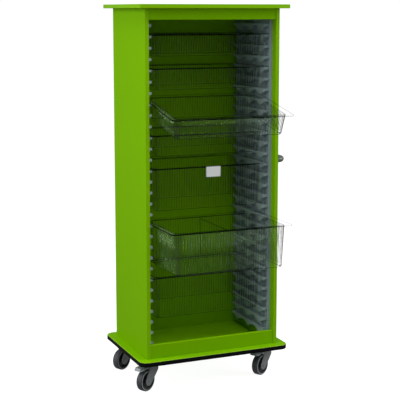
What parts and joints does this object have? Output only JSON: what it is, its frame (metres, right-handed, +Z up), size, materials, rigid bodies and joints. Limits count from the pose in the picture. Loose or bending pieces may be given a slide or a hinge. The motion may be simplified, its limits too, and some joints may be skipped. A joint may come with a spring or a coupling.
{
  "type": "tray trolley",
  "caption": "Tall open cabinet on swivel castors with ladders of runners on both inner sides, clear slide-in trays, an overhanging top, a bumper edge and a side push handle.",
  "frame": {"origin": "on the floor, under the middle of the whole object's box with the trays as pictured", "axes": "+X to the right seen from the open front, +Y to the back, +Z up"},
  "size_m": [0.784, 0.7064, 1.755],
  "materials": {
    "green_laminate": "lime green melamine laminate, fine satin texture",
    "bumper": "black soft plastic bumper strip",
    "runner_plastic": "grey moulded plastic with a fine grain",
    "beech": "plain beech dowel",
    "handle": "satin grey coating",
    "clear_tray": "clear moulded plastic",
    "clear_holder": "clear clip-on label pocket",
    "card": "blank white card",
    "fork_metal": "mid grey coated steel",
    "tyre": "dark grey non-marking rubber",
    "wheel_core": "dark grey moulded nylon",
    "pedal": "light grey moulded nylon",
    "zinc": "zinc plated steel"
  },
  "bodies": {
    "root": {"base_board": "green_laminate", "edge_bumper": "bumper", "side_panel_left": "green_laminate", "side_panel_right": "green_laminate", "back_panel": "green_laminate", "top_rail": "green_laminate", "plinth_rail": "green_laminate", "top_board": "green_laminate", "ladder_left_lower": "runner_plastic", "ladder_left_middle": "runner_plastic", "ladder_left_upper": "runner_plastic", "ladder_right_lower": "runner_plastic", "ladder_right_middle": "runner_plastic", "ladder_right_upper": "runner_plastic", "ladder_screws": "zinc", "panel_dowels": "beech", "base_screws": "zinc", "back_screws": "zinc", "handle_bar": "handle", "handle_rosette_front": "handle", "handle_rosette_rear": "handle", "handle_bolts": "zinc", "castor_bolts": "zinc", "castor_plate_front_left": "zinc", "castor_plate_front_right": "zinc", "castor_plate_rear_left": "zinc", "castor_plate_rear_right": "zinc", "kingpin_front_left": "zinc", "kingpin_front_right": "zinc", "kingpin_rear_left": "zinc", "kingpin_rear_right": "zinc"},
    "tray_1_body": {"tray_1": "clear_tray"},
    "tray_2_body": {"tray_2": "clear_tray"},
    "tray_3_body": {"tray_3": "clear_tray"},
    "tray_4_body": {"tray_4": "clear_tray"},
    "tray_5_body": {"tray_5": "clear_tray", "label_holder": "clear_holder", "label_card": "card"},
    "tray_6_body": {"tray_6": "clear_tray", "tray_divider": "clear_tray"},
    "tray_7_body": {"tray_7": "clear_tray"},
    "swivel_front_left": {"fork_front_left": "fork_metal", "axle_front_left": "fork_metal"},
    "swivel_front_right": {"fork_front_right": "fork_metal", "axle_front_right": "fork_metal"},
    "swivel_rear_left": {"fork_rear_left": "fork_metal", "axle_rear_left": "fork_metal"},
    "swivel_rear_right": {"fork_rear_right": "fork_metal", "axle_rear_right": "fork_metal"},
    "wheel_front_left": {"wheel_core_front_left": "wheel_core", "tyre_front_left": "tyre"},
    "wheel_front_right": {"wheel_core_front_right": "wheel_core", "tyre_front_right": "tyre"},
    "wheel_rear_left": {"wheel_core_rear_left": "wheel_core", "tyre_rear_left": "tyre"},
    "wheel_rear_right": {"wheel_core_rear_right": "wheel_core", "tyre_rear_right": "tyre"},
    "pedal_front_left": {"brake_pedal_front_left": "pedal"},
    "pedal_front_right": {"brake_pedal_front_right": "pedal"}
  },
  "joints": [
    {"name": "tray_1_slide", "type": "slide", "parent": "root", "child": "tray_1_body", "axis": [0, -1, 0], "range_m": [0, 0.295]},
    {"name": "tray_2_slide", "type": "slide", "parent": "root", "child": "tray_2_body", "axis": [0, -1, 0], "range_m": [0, 0.295]},
    {"name": "tray_3_tip", "type": "hinge", "parent": "root", "child": "tray_3_body", "pos_m": [-0.00596, -0.07283, 1.318], "axis": [-1, 0, 0], "range_deg": [0, 11.5]},
    {"name": "tray_4_slide", "type": "slide", "parent": "root", "child": "tray_4_body", "axis": [0, -1, 0], "range_m": [0, 0.295]},
    {"name": "tray_5_slide", "type": "slide", "parent": "root", "child": "tray_5_body", "axis": [0, -1, 0], "range_m": [0, 0.295]},
    {"name": "tray_6_slide", "type": "slide", "parent": "root", "child": "tray_6_body", "axis": [0, -1, 0], "range_m": [-0.253, 0.042]},
    {"name": "tray_7_slide", "type": "slide", "parent": "root", "child": "tray_7_body", "axis": [0, -1, 0], "range_m": [0, 0.295]},
    {"name": "swivel_front_left_turn", "type": "hinge", "parent": "root", "child": "swivel_front_left", "pos_m": [-0.29796, -0.07383, 0.128], "axis": [0, 0, 1], "continuous": true},
    {"name": "wheel_front_left_roll", "type": "hinge", "parent": "swivel_front_left", "child": "wheel_front_left", "pos_m": [-0.33347, -0.09433, 0.05], "axis": [0.5, -0.866, 0], "continuous": true},
    {"name": "pedal_front_left_press", "type": "hinge", "parent": "swivel_front_left", "child": "pedal_front_left", "pos_m": [-0.31182, -0.08183, 0.10868], "axis": [0.5, -0.866, 0], "range_deg": [0, 12]},
    {"name": "swivel_front_right_turn", "type": "hinge", "parent": "root", "child": "swivel_front_right", "pos_m": [0.28604, -0.07383, 0.128], "axis": [0, 0, 1], "continuous": true},
    {"name": "wheel_front_right_roll", "type": "hinge", "parent": "swivel_front_right", "child": "wheel_front_right", "pos_m": [0.25053, -0.09433, 0.05], "axis": [0.5, -0.866, 0], "continuous": true},
    {"name": "pedal_front_right_press", "type": "hinge", "parent": "swivel_front_right", "child": "pedal_front_right", "pos_m": [0.27218, -0.08183, 0.10868], "axis": [0.5, -0.866, 0], "range_deg": [0, 12]},
    {"name": "swivel_rear_left_turn", "type": "hinge", "parent": "root", "child": "swivel_rear_left", "pos_m": [-0.29796, 0.26017, 0.128], "axis": [0, 0, 1], "continuous": true},
    {"name": "wheel_rear_left_roll", "type": "hinge", "parent": "swivel_rear_left", "child": "wheel_rear_left", "pos_m": [-0.33347, 0.23967, 0.05], "axis": [0.5, -0.866, 0], "continuous": true},
    {"name": "swivel_rear_right_turn", "type": "hinge", "parent": "root", "child": "swivel_rear_right", "pos_m": [0.28604, 0.26017, 0.128], "axis": [0, 0, 1], "continuous": true},
    {"name": "wheel_rear_right_roll", "type": "hinge", "parent": "swivel_rear_right", "child": "wheel_rear_right", "pos_m": [0.25053, 0.23967, 0.05], "axis": [0.5, -0.866, 0], "continuous": true}
  ]
}
